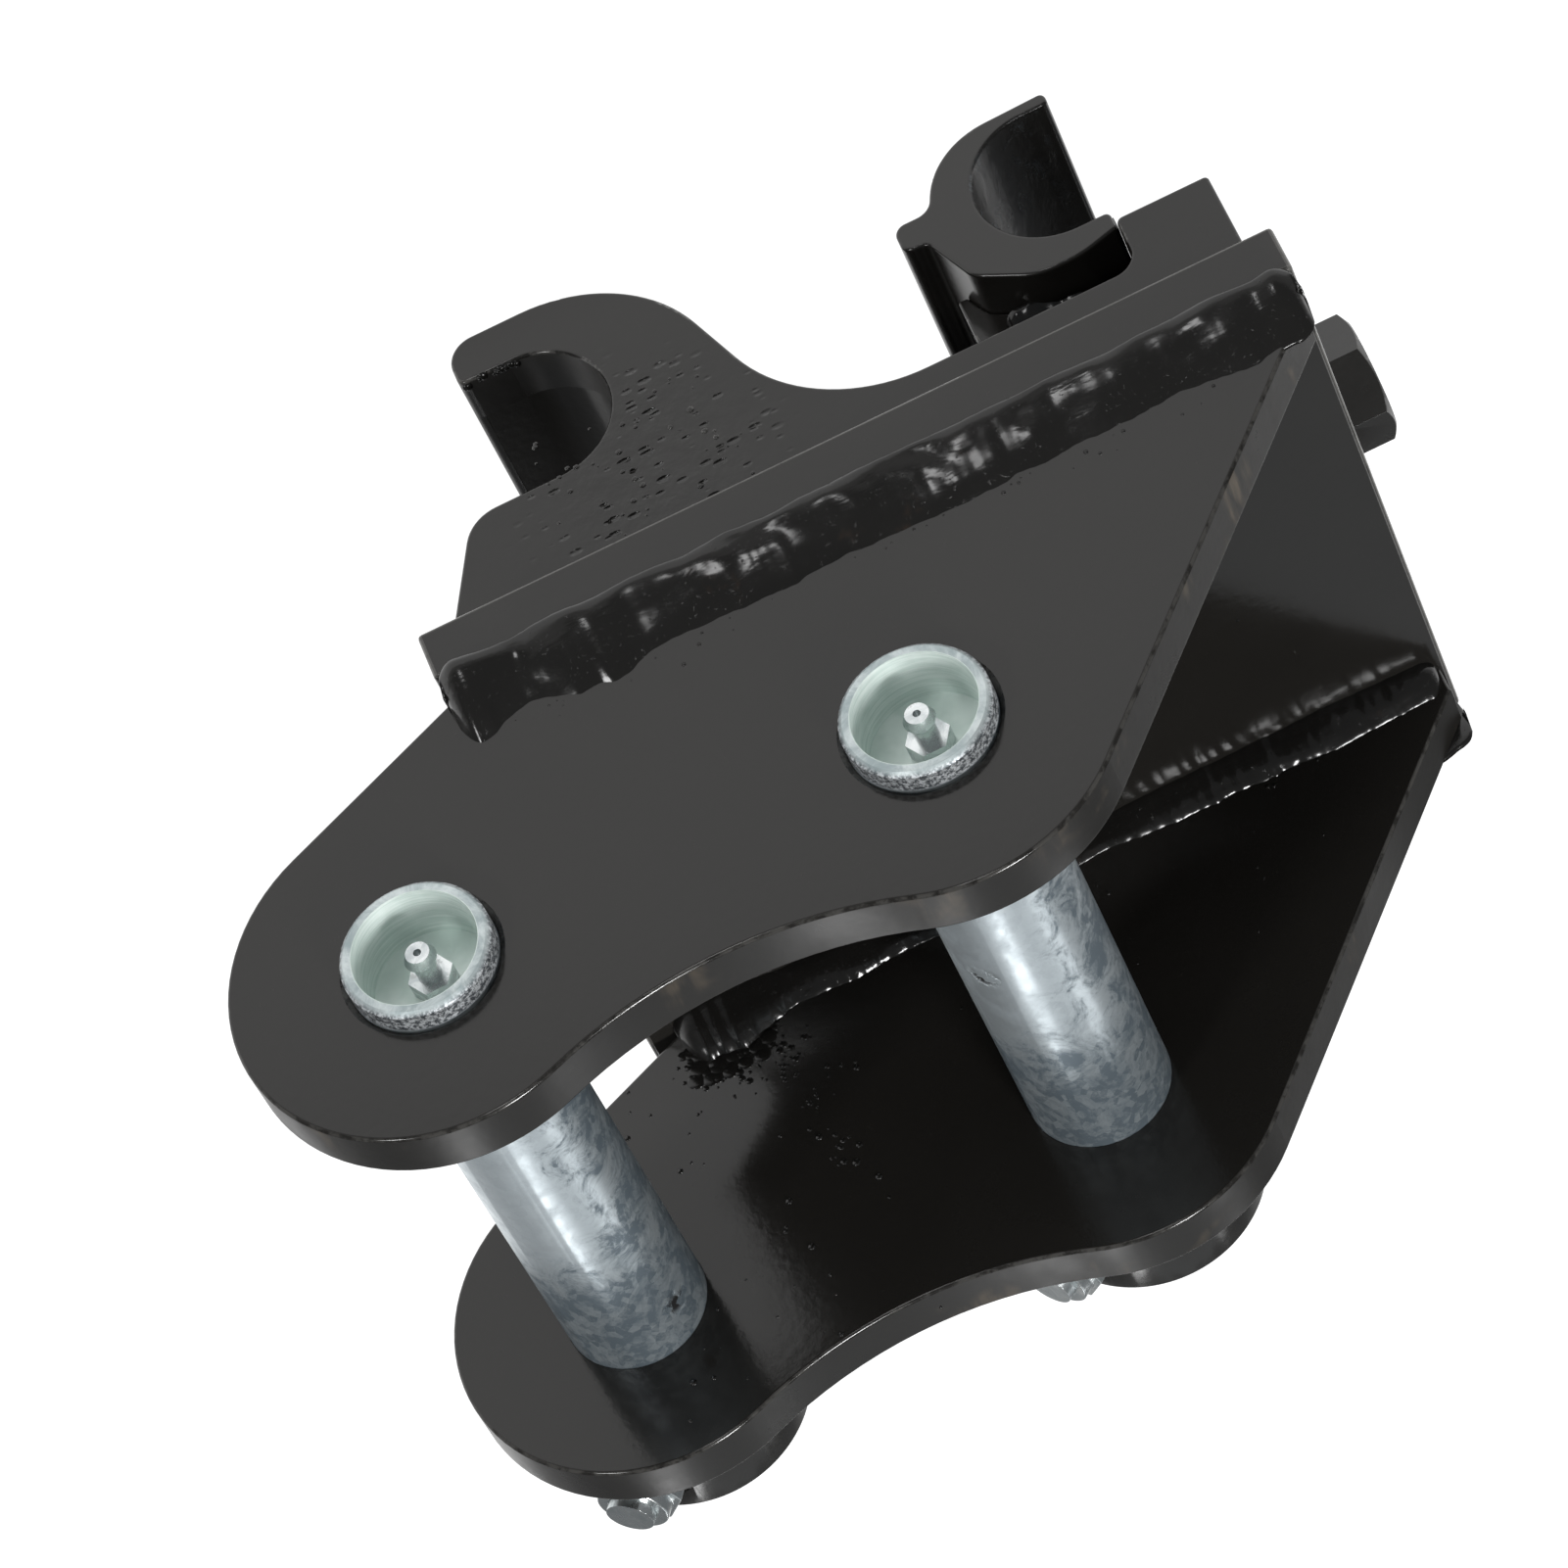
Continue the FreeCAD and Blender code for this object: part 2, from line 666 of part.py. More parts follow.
def roll_pin_solid():
    return cylinder("roll_pin / 2", roll_length, pin_station, "-(%s) / 2" % roll_length, "screw_level",
                    ALONG_Y)


keep("clamp_screw", cut(fuse(head, shank, tip), roll_pin_solid()))

washer_rear = "block_rear - washer_thickness"
washer = cylinder("washer_diameter / 2", "washer_thickness", washer_rear, "0", "screw_level", ALONG_X)
washer_bore = cylinder("screw_diameter / 2 + screw_fit", "washer_thickness", washer_rear, "0", "screw_level",
                       ALONG_X)
keep("thrust_washer", cut(washer, washer_bore))

collar = cylinder("collar_diameter / 2 - thrust_gap", "collar_length", collar_front, "0", "screw_level",
                  ALONG_X)
collar_bore = cylinder("screw_diameter / 2", "collar_length", collar_front, "0", "screw_level", ALONG_X)
keep("thrust_collar", cut(collar, collar_bore, roll_pin_solid()))
keep("collar_roll_pin", roll_pin_solid())


# Weld beads, each a plain bar that fills its corner

EAR_LEG = dim("ear_weld")
BASE_SIDE = dim("base_width") / 2


def ear_bead():
    """Outer bead: it covers the strip of base plate outside the ear and leans on the ear."""
    proud = BASE_SIDE + dim("ear_weld_proud")
    shoulder = EAR_OUT + dim("ear_weld_shoulder")
    return [(EAR_OUT, BASE_TOP), (BASE_SIDE, BASE_TOP), (proud, BASE_TOP + EAR_LEG * 0.4),
            (shoulder, BASE_TOP + EAR_LEG * 0.85), (EAR_OUT, BASE_TOP + EAR_LEG)]


def inner_bead():
    """Bead in the corner between the base plate and the inside of the ear."""
    return [(EAR_IN, BASE_TOP), (EAR_IN - dim("inner_weld_foot"), BASE_TOP),
            (EAR_IN, BASE_TOP + dim("inner_weld"))]


def frame_bead():
    """Bead in the corner between the base plate's underside and the hook frame."""
    leg = dim("frame_weld")
    return [(FRAME_OUT, FOOT), (FRAME_OUT + leg, FOOT), (FRAME_OUT, FOOT - leg)]


def make_bead(name, corners, sign, start, length):
    keep(name, bar(polygon([(sign * y, z) for y, z in corners]), start, length))


for side, sign in SIDES.items():
    make_bead("ear_weld_" + side, ear_bead(), sign, "ear_rear_foot", "base_front - ear_rear_foot")
    make_bead("ear_inner_weld_" + side, inner_bead(), sign, "ear_rear_foot", "ear_front_foot - ear_rear_foot")
    make_bead("frame_weld_" + side, frame_bead(), sign, "block_rear",
              "base_front - block_rear - frame_weld_end")


# Every object must have built, and every piece must be one sound shape

doc.recompute()
for obj in doc.Objects:
    if "Invalid" in obj.State or "Error" in obj.State:
        raise RuntimeError("%s (%s) did not build: %s" % (obj.Name, obj.Label, obj.State))
for name, obj in nodes.items():
    if obj.Shape.isNull() or not obj.Shape.isValid() or obj.Shape.Volume <= 0:
        raise RuntimeError("%s has no sound shape" % name)

os.makedirs("parts", exist_ok=True)
for name, obj in nodes.items():
    obj.Shape.exportStep("parts/%s.step" % name)
    extent = obj.Shape.BoundBox
    print("%-24s solids %d  volume %9.0f  X %7.1f %7.1f  Y %7.1f %7.1f  Z %7.1f %7.1f" % (
        name, len(obj.Shape.Solids), obj.Shape.Volume, extent.XMin, extent.XMax, extent.YMin, extent.YMax,
        extent.ZMin, extent.ZMax))
print(len(nodes), "pieces")
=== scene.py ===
import json
import math
import random

import bmesh
import bpy
from mathutils import Matrix, Vector, noise


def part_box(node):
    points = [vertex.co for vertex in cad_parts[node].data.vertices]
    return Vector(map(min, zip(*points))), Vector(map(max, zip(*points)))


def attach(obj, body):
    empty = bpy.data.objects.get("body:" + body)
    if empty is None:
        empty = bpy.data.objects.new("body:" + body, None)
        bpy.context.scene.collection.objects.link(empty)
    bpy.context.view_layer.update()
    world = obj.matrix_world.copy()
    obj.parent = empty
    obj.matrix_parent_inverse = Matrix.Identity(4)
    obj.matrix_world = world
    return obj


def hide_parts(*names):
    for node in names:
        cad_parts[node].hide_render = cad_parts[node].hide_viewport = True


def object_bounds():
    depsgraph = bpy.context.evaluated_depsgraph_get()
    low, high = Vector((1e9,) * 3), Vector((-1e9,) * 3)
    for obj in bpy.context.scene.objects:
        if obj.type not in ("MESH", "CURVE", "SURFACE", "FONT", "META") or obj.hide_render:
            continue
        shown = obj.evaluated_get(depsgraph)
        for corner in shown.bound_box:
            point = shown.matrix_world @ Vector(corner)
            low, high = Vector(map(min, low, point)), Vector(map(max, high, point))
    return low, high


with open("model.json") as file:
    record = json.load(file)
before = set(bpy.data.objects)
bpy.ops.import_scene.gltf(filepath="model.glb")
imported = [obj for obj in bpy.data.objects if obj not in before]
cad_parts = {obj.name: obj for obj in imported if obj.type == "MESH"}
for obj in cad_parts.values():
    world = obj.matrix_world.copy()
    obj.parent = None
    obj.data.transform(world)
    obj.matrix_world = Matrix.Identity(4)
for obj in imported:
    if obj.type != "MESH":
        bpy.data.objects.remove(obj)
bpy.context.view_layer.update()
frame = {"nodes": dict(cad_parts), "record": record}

# Looks of the quick coupler: gloss black paint over flame-cut plate, rippled weld
# beads, blue-grey zinc pins. Metres, in the coupler's own frame: +Z up towards the
# dipper arm, +Y along the pins, +X the way the front hook opens.

MM = 0.001
NODES = frame["nodes"]


# Camera

CAMERA_PLACE = Vector((-0.05773, -1.15454, 0.94574))
CAMERA_AIM = Vector((-0.01339, 0.0, 0.07114))
CAMERA_ROLL = 155.748
LENS = 168.136
SHIFT = (-0.00799, 0.01697)


def make_camera():
    data = bpy.data.cameras.new("camera")
    data.lens = LENS
    data.sensor_width = 36
    data.shift_x, data.shift_y = SHIFT
    data.clip_start = 0.05
    data.clip_end = 50
    camera = bpy.data.objects.new("camera", data)
    level = (CAMERA_AIM - CAMERA_PLACE).to_track_quat("-Z", "Y").to_matrix().to_4x4()
    turn = Matrix.Rotation(math.radians(CAMERA_ROLL), 4, "Z")
    camera.matrix_world = Matrix.Translation(CAMERA_PLACE) @ level @ turn
    bpy.context.scene.collection.objects.link(camera)
    bpy.context.scene.camera = camera


make_camera()


# Measures taken from the frame

def size(node):
    low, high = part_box(node)
    return Vector(low), Vector(high)


EAR_LOW, EAR_HIGH = size("ear_plate_near")
BASE_LOW, BASE_HIGH = size("base_plate")
FRAME_LOW, FRAME_HIGH = size("hook_plate_near")
EAR_OUT = -EAR_LOW.y
EAR_IN = -EAR_HIGH.y
BASE_TOP = BASE_HIGH.z
FOOT = BASE_LOW.z
FRAME_OUT = -FRAME_LOW.y


def axis_of(node):
    """Middle of a node's box in X and Z."""
    low, high = size(node)
    return (low.x + high.x) / 2, (low.z + high.z) / 2


# Materials

class Look:
    """One material and its node tree. Its calls return sockets to feed to others."""

    def __init__(self, name, metallic=0.0, specular=0.5):
        self.material = bpy.data.materials.new(name)
        self.material.use_nodes = True
        self.tree = self.material.node_tree
        self.shader = self.tree.nodes["Principled BSDF"]
        self.shader.inputs["Metallic"].default_value = metallic
        self.shader.inputs["Specular IOR Level"].default_value = specular
        self.place = self.tree.nodes.new("ShaderNodeTexCoord").outputs["Object"]
        self.normal = self.tree.nodes.new("ShaderNodeNewGeometry").outputs["True Normal"]

    def feed(self, socket, value):
        if isinstance(value, bpy.types.NodeSocket):
            self.tree.links.new(value, socket)
        elif isinstance(value, tuple) and len(value) == 3 and socket.type == "RGBA":
            socket.default_value = value + (1.0,)
        elif value is not None:
            socket.default_value = value

    def math(self, operation, first, second=None, clamp=False):
        """One step of arithmetic on sockets or numbers."""
        node = self.tree.nodes.new("ShaderNodeMath")
        node.operation = operation
        node.use_clamp = clamp
        self.feed(node.inputs[0], first)
        self.feed(node.inputs[1], second)
        return node.outputs[0]

    def stretch(self, scale, offset=(0, 0, 0)):
        """The place on the piece, scaled along each axis."""
        node = self.tree.nodes.new("ShaderNodeMapping")
        self.feed(node.inputs["Vector"], self.place)
        node.inputs["Scale"].default_value = scale
        node.inputs["Location"].default_value = offset
        return node.outputs[0]

    def noise(self, scale, detail=3.0, rough=0.5, warp=0.0, place=None):
        node = self.tree.nodes.new("ShaderNodeTexNoise")
        self.feed(node.inputs["Vector"], place or self.place)
        node.inputs["Scale"].default_value = scale
        node.inputs["Detail"].default_value = detail
        node.inputs["Roughness"].default_value = rough
        node.inputs["Distortion"].default_value = warp
        return node.outputs["Fac"]

    def cells(self, scale, place, output="Distance"):
        """Distance to the middle of the nearest random cell, or that cell's random colour."""
        node = self.tree.nodes.new("ShaderNodeTexVoronoi")
        self.feed(node.inputs["Vector"], place)
        node.inputs["Scale"].default_value = scale
        return node.outputs[output]

    def ramp(self, value, low, high, out_low=0.0, out_high=1.0):
        """A soft step from out_low at low to out_high at high."""
        node = self.tree.nodes.new("ShaderNodeMapRange")
        node.interpolation_type = "SMOOTHSTEP"
        self.feed(node.inputs["Value"], value)
        limits = {"From Min": low, "From Max": high, "To Min": out_low, "To Max": out_high}
        for name, number in limits.items():
            node.inputs[name].default_value = number
        return node.outputs["Result"]

    def mix(self, share, first, second):
        node = self.tree.nodes.new("ShaderNodeMix")
        node.data_type = "RGBA"
        self.feed(node.inputs["Factor"], share)
        self.feed(node.inputs[6], first)
        self.feed(node.inputs[7], second)
        return node.outputs[2]

    def part(self, vector, axis):
        """One of a vector's three numbers."""
        node = self.tree.nodes.new("ShaderNodeSeparateXYZ")
        self.feed(node.inputs[0], vector)
        return node.outputs[axis]

    def near(self, point, inner, outer):
        """1 within inner of a point, falling to 0 at outer."""
        node = self.tree.nodes.new("ShaderNodeVectorMath")
        node.operation = "DISTANCE"
        self.feed(node.inputs[0], self.place)
        node.inputs[1].default_value = point
        return self.ramp(node.outputs["Value"], inner, outer, 1.0, 0.0)

    def bump(self, height, distance, strength=1.0, normal=None):
        node = self.tree.nodes.new("ShaderNodeBump")
        self.feed(node.inputs["Height"], height)
        node.inputs["Distance"].default_value = distance
        self.feed(node.inputs["Strength"], strength)
        self.feed(node.inputs["Normal"], normal)
        return node.outputs[0]

    def distance_from(self, axis):
        """Distance from an axis along Y that crosses X and Z at the two given places."""
        off_x = self.math("SUBTRACT", self.part(self.place, "X"), axis[0])
        off_z = self.math("SUBTRACT", self.part(self.place, "Z"), axis[1])
        squares = self.math("ADD", self.math("MULTIPLY", off_x, off_x), self.math("MULTIPLY", off_z, off_z))
        return self.math("SQRT", squares)

    def finish(self, colour, roughness, normal=None, metallic=None):
        self.feed(self.shader.inputs["Base Color"], colour)
        self.feed(self.shader.inputs["Roughness"], roughness)
        self.feed(self.shader.inputs["Normal"], normal)
        self.feed(self.shader.inputs["Metallic"], metallic)
        return self.material


BLACK = (0.0132, 0.0122, 0.0108)
DUSTY = (0.026, 0.024, 0.021)
BARE = (0.34, 0.33, 0.31)
TAN = (0.16, 0.125, 0.085)
WELD_BLACK = (0.0088, 0.0083, 0.0076)
WELD_RUST = (0.042, 0.025, 0.016)

# Heights between which the far ear's distorted face goes flat again
BEND_LEVELS = (0.078, 0.106)

# Reach of the pits round their middle
PIT_REACH = (0.010, 0.036)

# Where the pin's zinc changes: each pair is the start and end of a soft step
# Where the pin starts to darken towards its far end: partly grime, partly painted shade
GRIME_AND_SHADE_START = (0.012, 0.036)
PROUD_START = (-0.0722, -0.0715)
END_FACE = (-0.0768, -0.0758)
CUP_WALL = (0.01255, 0.0127)
CUP_FLOOR = (-0.0626, -0.0624)
GOUGE_REACH = (0.0012, 0.0042)


def rim_share(look):
    """1 on the cut rim of a plate that lies across Y, 0 on its faces."""
    across = look.math("ABSOLUTE", look.part(look.normal, "Y"))
    return look.ramp(across, 0.10, 0.35, 1.0, 0.0)


def fillet_share(look):
    """1 on the small round between a plate's face and its rim."""
    across = look.math("ABSOLUTE", look.part(look.normal, "Y"))
    return look.math("MULTIPLY", look.ramp(across, 0.08, 0.30), look.ramp(across, 0.90, 0.99, 1.0, 0.0))


def edge_share(look):
    """1 on the narrow eased edges of a block, 0 on its flat faces."""
    steepest = None
    for axis in "XYZ":
        share = look.math("ABSOLUTE", look.part(look.normal, axis))
        steepest = share if steepest is None else look.math("MAXIMUM", steepest, share)
    return look.ramp(steepest, 0.93, 0.985, 1.0, 0.0)


def pit_normal(look, middle, normal):
    """Rounded pits and a soft swell in the steel under the paint, round one place."""
    where = look.near(middle, *PIT_REACH)
    spread = look.stretch((0.7, 1, 1.45))
    kind = look.cells(340, spread, output="Color")
    wide = look.math("MULTIPLY", look.part(kind, "Y"), 0.16)
    hollow = look.ramp(look.math("ADD", look.cells(340, spread), wide), 0.12, 0.44, 1.0, 0.0)
    chosen = look.ramp(look.part(kind, "X"), 0.40, 0.44)
    pits = look.math("SUBTRACT", 1.0, look.math("MULTIPLY", hollow, chosen))
    normal = look.bump(pits, 0.0008, where, normal)
    swell = look.noise(170, 4, 0.6)
    return look.bump(swell, 0.0012, look.math("MULTIPLY", where, 0.5), normal)


def make_paint(name, wear, gloss=0.09, rim_wear=0.0, pitted=None, blocky=False, grain=0.35,
               chips=(0.50, 0.62), bend=0.0):
    """Gloss black enamel with orange peel, dust, scuffed rims and worn edges."""
    look = Look(name, specular=0.44)
    broad = look.noise(22, 3, 0.55)
    peel = look.noise(520, 2, 0.45)
    grit = look.noise(3200, 2, 0.6)
    specks = look.ramp(look.noise(900, 2, 0.7), 0.70, 0.78)
    colour = look.mix(look.ramp(broad, 0.3, 0.75), BLACK, tuple(c * 1.12 for c in BLACK))
    colour = look.mix(look.math("MULTIPLY", specks, 0.5), colour, DUSTY)
    rough = look.math("ADD", look.ramp(broad, 0.3, 0.7, gloss, gloss + 0.07),
                      look.ramp(grit, 0.3, 0.8, 0.0, 0.05))
    rim = look.math("MULTIPLY", rim_share(look), 1.0 if rim_wear else 0.0)
    drag = look.noise(1.0, 4, 0.6, 0.2, look.stretch((210, 30, 210)))
    patch = look.noise(34, 4, 0.6, 0.4, look.stretch((1, 0.8, 1), (0.3, 0.1, 0.7)))
    scuffs = look.math("MULTIPLY", look.ramp(patch, 0.54, 0.66), look.ramp(drag, 0.42, 0.62))
    slanted = look.ramp(look.part(look.normal, "X"), -0.97, -0.80, 1.0, 0.35)
    behind = look.ramp(look.part(look.normal, "X"), -0.45, -0.70, 0.0, 1.0)
    scuffs = look.math("MULTIPLY", look.math("MULTIPLY", scuffs, rim), rim_wear)
    scuffs = look.math("MULTIPLY", scuffs, look.math("ADD", 0.35, look.math("MULTIPLY", slanted, behind)))
    colour = look.mix(scuffs, colour, TAN)
    worn_chips = look.ramp(look.noise(260, 4, 0.7), *chips)
    edges = edge_share(look) if blocky else fillet_share(look)
    worn = look.math("MULTIPLY", look.math("MULTIPLY", edges, worn_chips), wear)
    colour = look.mix(worn, colour, BARE)
    rough = look.math("ADD", rough, look.math("MULTIPLY", rim, look.ramp(patch, 0.3, 0.7, 0.12, 0.28)))
    normal = look.bump(peel, 0.00006, grain)
    normal = look.bump(grit, 0.000012, grain, normal)
    normal = look.bump(drag, 0.00010, look.math("MULTIPLY", rim, 0.16), normal)
    if bend:
        low_down = look.ramp(look.part(look.place, "Z"), *BEND_LEVELS, 1.0, 0.0)
        normal = look.bump(look.math("MULTIPLY", look.part(look.place, "X"), -1.0), bend, low_down, normal)
    if pitted:
        normal = pit_normal(look, pitted, normal)
    return look.finish(colour, rough, normal)


def make_weld_paint(name):
    """The same enamel, thick and wet-looking, over weld ripples and grit."""
    look = Look(name, specular=0.44)
    ripple = look.noise(1.0, 3, 0.6, 0.5, look.stretch((80, 230, 230)))
    lumps = look.noise(1.0, 3, 0.5, 0.0, look.stretch((60, 120, 120)))
    grit = look.noise(1100, 3, 0.65)
    rust = look.ramp(look.noise(60, 4, 0.7, 0.0, look.stretch((1, 1, 1), (0.4, 0.2, 0.0))), 0.60, 0.74)
    colour = look.mix(look.math("MULTIPLY", rust, 0.4), WELD_BLACK, WELD_RUST)
    rough = look.ramp(lumps, 0.3, 0.7, 0.12, 0.22)
    normal = look.bump(lumps, 0.0006, 0.4)
    normal = look.bump(ripple, 0.0003, 0.35, normal)
    normal = look.bump(look.ramp(grit, 0.64, 0.72), 0.00010, 0.5, normal)
    return look.finish(colour, rough, normal)


def make_zinc(name, axis, gouge):
    """Blue-grey zinc plate with spangle and smears, darkened towards the far end by grime and painted shade
    and on the rear side by painted shade; greenish inside the pin's cup.
    """
    look = Look(name, metallic=1.0)
    along = look.part(look.place, "Y")
    off_x = look.math("SUBTRACT", look.part(look.place, "X"), axis[0])
    radius = look.distance_from(axis)
    smear = look.noise(125, 7, 0.72, 0.7, look.stretch((1, 0.8, 1)))
    flecks = look.cells(620, look.stretch((1, 0.75, 1)), output="Color")
    fleck = look.part(flecks, "X")
    fine = look.noise(1400, 3, 0.7)
    mottle = look.math("ADD", look.ramp(smear, 0.32, 0.74, 0.0, 0.6),
                       look.math("MULTIPLY", look.math("MULTIPLY", fleck, fine), 0.8))
    wander = look.math("MULTIPLY", look.math("SUBTRACT", smear, 0.5), 0.05)
    # The pin darkens towards its far end, partly grime and partly painted shade, and on its rear side, which
    # is painted shade
    far_end = look.ramp(look.math("ADD", along, wander), *GRIME_AND_SHADE_START, 0.0, 1.0)
    rear_side_shade = look.ramp(look.math("SUBTRACT", wander, off_x), 0.001, 0.014, 0.0, 1.0)
    grime_and_painted_shade = look.math("MAXIMUM", far_end, rear_side_shade)
    shade = look.math("MULTIPLY", mottle, look.ramp(grime_and_painted_shade, 0.0, 1.0, 0.35, 1.1))
    shade = look.math("ADD", shade, look.math("MULTIPLY", grime_and_painted_shade, 0.34), clamp=True)
    colour = look.mix(shade, (0.72, 0.79, 0.82), (0.17, 0.21, 0.24))
    rough = look.ramp(smear, 0.35, 0.7, 0.33, 0.46)
    proud = look.ramp(along, *PROUD_START, 1.0, 0.0)
    speck = look.ramp(look.noise(1100, 4, 0.75), 0.42, 0.60)
    colour = look.mix(proud, colour, look.mix(speck, (0.09, 0.10, 0.11), (0.72, 0.75, 0.77)))
    rough = look.math("ADD", rough, look.math("MULTIPLY", proud, 0.12))
    face = look.math("MULTIPLY", look.ramp(along, *END_FACE, 1.0, 0.0), proud)
    smeared = look.mix(look.ramp(smear, 0.35, 0.65), (0.66, 0.72, 0.72), (0.38, 0.45, 0.46))
    colour = look.mix(face, colour, smeared)
    cup = look.math("MULTIPLY", look.ramp(radius, *CUP_WALL, 1.0, 0.0),
                    look.ramp(along, *CUP_FLOOR, 1.0, 0.0))
    turned = look.noise(1.0, 3, 0.6, 0.0, look.stretch((90, 1500, 90)))
    inside = look.mix(look.ramp(turned, 0.35, 0.65), (0.66, 0.755, 0.715), (0.82, 0.89, 0.86))
    colour = look.mix(cup, colour, inside)
    rough = look.math("ADD", rough, look.math("MULTIPLY", cup, 0.10))
    normal = look.bump(look.noise(300, 5, 0.65, 0.8), 0.00003, 0.30)
    normal = look.bump(fleck, 0.000012, 0.35, normal)
    normal = look.bump(look.noise(1.0, 3, 0.6, 0.0, look.stretch((800, 30, 800))), 0.00001, 0.35, normal)
    metallic = look.math("SUBTRACT", 0.80, look.math("MULTIPLY", look.math("MAXIMUM", shade, cup), 0.25))
    scar = look.math("MULTIPLY", look.near(gouge, *GOUGE_REACH),
                     look.ramp(look.noise(330, 4, 0.7), 0.50, 0.56))
    colour = look.mix(scar, colour, (0.02, 0.02, 0.02))
    normal = look.bump(look.math("SUBTRACT", 1.0, scar), 0.0008, 0.8, normal)
    metallic = look.math("MULTIPLY", metallic, look.math("SUBTRACT", 1.0, scar))
    return look.finish(colour, rough, normal, metallic)


def make_plain_metal(name, light, dark, rough_low, rough_high, turned=(400, 400, 400), dirt=0.3):
    """Machined or plated steel with fine turning marks and a little dirt."""
    look = Look(name, metallic=1.0)
    lines = look.noise(1.0, 4, 0.65, 0.1, look.stretch(turned))
    smear = look.noise(180, 5, 0.65, 0.6)
    grime = look.ramp(look.noise(420, 4, 0.7), 0.58, 0.70)
    colour = look.mix(look.ramp(smear, 0.35, 0.7), light, dark)
    colour = look.mix(look.math("MULTIPLY", grime, dirt), colour, (0.05, 0.035, 0.025))
    rough = look.ramp(smear, 0.3, 0.7, rough_low, rough_high)
    normal = look.bump(lines, 0.00004, 0.5)
    normal = look.bump(smear, 0.00008, 0.3, normal)
    metallic = look.math("SUBTRACT", 1.0, look.math("MULTIPLY", grime, dirt))
    return look.finish(colour, rough, normal, metallic)


def make_worn_seat(name, axis, seat):
    """Paint on the jaw, scraped to bare metal along the back of its seat."""
    look = Look(name)
    broad = look.noise(22, 3, 0.55)
    peel = look.noise(520, 2, 0.45)
    radius = look.distance_from(axis)
    inside = look.ramp(radius, seat + 0.0002, seat + 0.0006, 1.0, 0.0)
    scrape = look.noise(1.0, 6, 0.75, 0.4, look.stretch((300, 150, 300)))
    where = look.ramp(look.noise(46, 3, 0.6), 0.42, 0.62)
    end = look.ramp(look.part(look.place, "Y"), -0.045, -0.020, 1.0, 0.25)
    bare = look.math("MULTIPLY", look.math("MULTIPLY", inside, look.ramp(scrape, 0.50, 0.62)),
                     look.math("MULTIPLY", where, end))
    colour = look.mix(look.ramp(broad, 0.3, 0.75), BLACK, tuple(c * 1.12 for c in BLACK))
    colour = look.mix(bare, colour, (0.10, 0.115, 0.125))
    rough = look.math("ADD", look.ramp(broad, 0.3, 0.7, 0.20, 0.27), look.math("MULTIPLY", bare, 0.15))
    normal = look.bump(peel, 0.00006, 0.35)
    normal = look.bump(scrape, 0.0003, look.math("MULTIPLY", inside, 0.7), normal)
    return look.finish(colour, rough, normal, look.math("MULTIPLY", bare, 0.8))


PIN_AXIS = {which: axis_of(which + "_pin") for which in ("dipper", "link")}
PITS_AHEAD = 0.0345
PITS_LEVEL = 0.024
PITS_MIDDLE = ((FRAME_LOW.x + FRAME_HIGH.x) / 2 + PITS_AHEAD, FRAME_LOW.y, PITS_LEVEL)
GOUGES = {"dipper": (0.0504, 0.0484, 0.1319), "link": (-0.0330, -0.0038, 0.1298)}
JAW_SEAT = next(m for m in frame["record"]["mounts"] if m["name"] == "rear_jaw_seat")
JAW_AXIS = (JAW_SEAT["pos_m"][0], JAW_SEAT["pos_m"][2])
JAW_RADIUS = JAW_SEAT["dims"]["r_mm"] * MM

ear_paint = make_paint("ear_paint", wear=0.12, rim_wear=0.9, chips=(0.40, 0.58))
far_ear_paint = make_paint("far_ear_paint", wear=0.12, rim_wear=0.9, chips=(0.40, 0.58), bend=0.36)
base_paint = make_paint("base_paint", gloss=0.10, wear=0.40, blocky=True, chips=(0.22, 0.50))
saddle_paint = make_paint("saddle_paint", gloss=0.30, wear=0.0, grain=0.9)
hook_paint = make_paint("hook_paint", gloss=0.13, wear=0.2, rim_wear=0.1, pitted=PITS_MIDDLE)
body_paint = make_paint("body_paint", gloss=0.10, wear=0.35, blocky=True)
boss_paint = make_paint("boss_paint", gloss=0.12, wear=0.2)
weld_paint = make_weld_paint("weld_paint")
jaw_paint = make_worn_seat("jaw_paint", JAW_AXIS, JAW_RADIUS)
screw_paint = make_paint("screw_paint", gloss=0.20, wear=0.0)
zinc = {which: make_zinc("zinc_" + which, PIN_AXIS[which], GOUGES[which]) for which in PIN_AXIS}
fastener = make_plain_metal("zinc_fastener", (0.74, 0.77, 0.77), (0.47, 0.51, 0.52), 0.20, 0.36, dirt=0.25)
steel = make_plain_metal("plain_steel", (0.45, 0.45, 0.46), (0.28, 0.28, 0.29), 0.25, 0.42, (900, 40, 40))
bronze = make_plain_metal("bronze", (0.60, 0.42, 0.22), (0.42, 0.28, 0.14), 0.25, 0.40, (900, 40, 40))

# The look of each CAD node, by the start of its name
LOOK_OF = {
    "ear_plate_near": ear_paint,
    "ear_plate_far": far_ear_paint,
    "hook_plate": hook_paint,
    "jaw_guide": steel,
    "base_plate": base_paint,
    "front_saddle": saddle_paint,
    "screw_block": body_paint,
    "jaw_hook": jaw_paint,
    "jaw_carriage": body_paint,
    "jaw_nut": bronze,
    "clamp_screw": screw_paint,
    "thrust_washer": steel,
    "thrust_collar": steel,
    "collar_roll_pin": steel,
}

